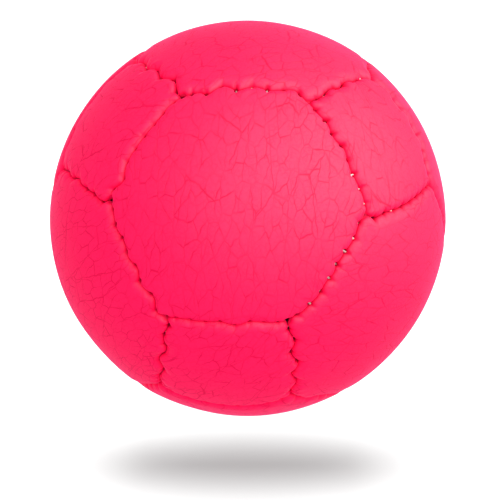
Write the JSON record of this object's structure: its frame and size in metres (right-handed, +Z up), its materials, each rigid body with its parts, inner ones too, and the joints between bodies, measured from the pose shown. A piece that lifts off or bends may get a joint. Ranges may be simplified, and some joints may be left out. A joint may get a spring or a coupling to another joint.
{
  "type": "lacrosse ball",
  "caption": "Hand-sewn soft lacrosse ball for practice: hexagon and square leather panels over a bag of granules.",
  "frame": {"origin": "centre of the ball", "axes": "+Z up, from the flat foot through the centre; the panel seen in the picture faces -Y, +X to its right"},
  "size_m": [0.0634, 0.0634, 0.0629],
  "materials": {
    "panel_leather": "semi-matte, fine creased grain",
    "thread": "waxed twisted thread",
    "liner_cloth": "plain woven cotton",
    "granules": "loose granules"
  },
  "bodies": {
    "root": {"granule_fill": "granules", "hex_panel_back": "panel_leather", "hex_panel_back_left": "panel_leather", "hex_panel_base": "panel_leather", "hex_panel_front": "panel_leather", "hex_panel_front_right": "panel_leather", "hex_panel_left": "panel_leather", "hex_panel_right": "panel_leather", "hex_panel_top": "panel_leather", "liner_bag": "liner_cloth", "ring_thread_lower_front": "thread", "ring_thread_lower_left": "thread", "ring_thread_lower_right": "thread", "ring_thread_upper_back": "thread", "ring_thread_upper_left": "thread", "ring_thread_upper_right": "thread", "seam_thread_back_left_back": "thread", "seam_thread_base_back": "thread", "seam_thread_front_front_right": "thread", "seam_thread_front_left": "thread", "seam_thread_front_right_base": "thread", "seam_thread_front_right_right": "thread", "seam_thread_front_top": "thread", "seam_thread_left_back_left": "thread", "seam_thread_left_base": "thread", "seam_thread_right_back": "thread", "seam_thread_top_back_left": "thread", "seam_thread_top_right": "thread", "square_panel_lower_front": "panel_leather", "square_panel_lower_left": "panel_leather", "square_panel_lower_right": "panel_leather", "square_panel_upper_back": "panel_leather", "square_panel_upper_left": "panel_leather", "square_panel_upper_right": "panel_leather"}
  },
  "joints": []
}
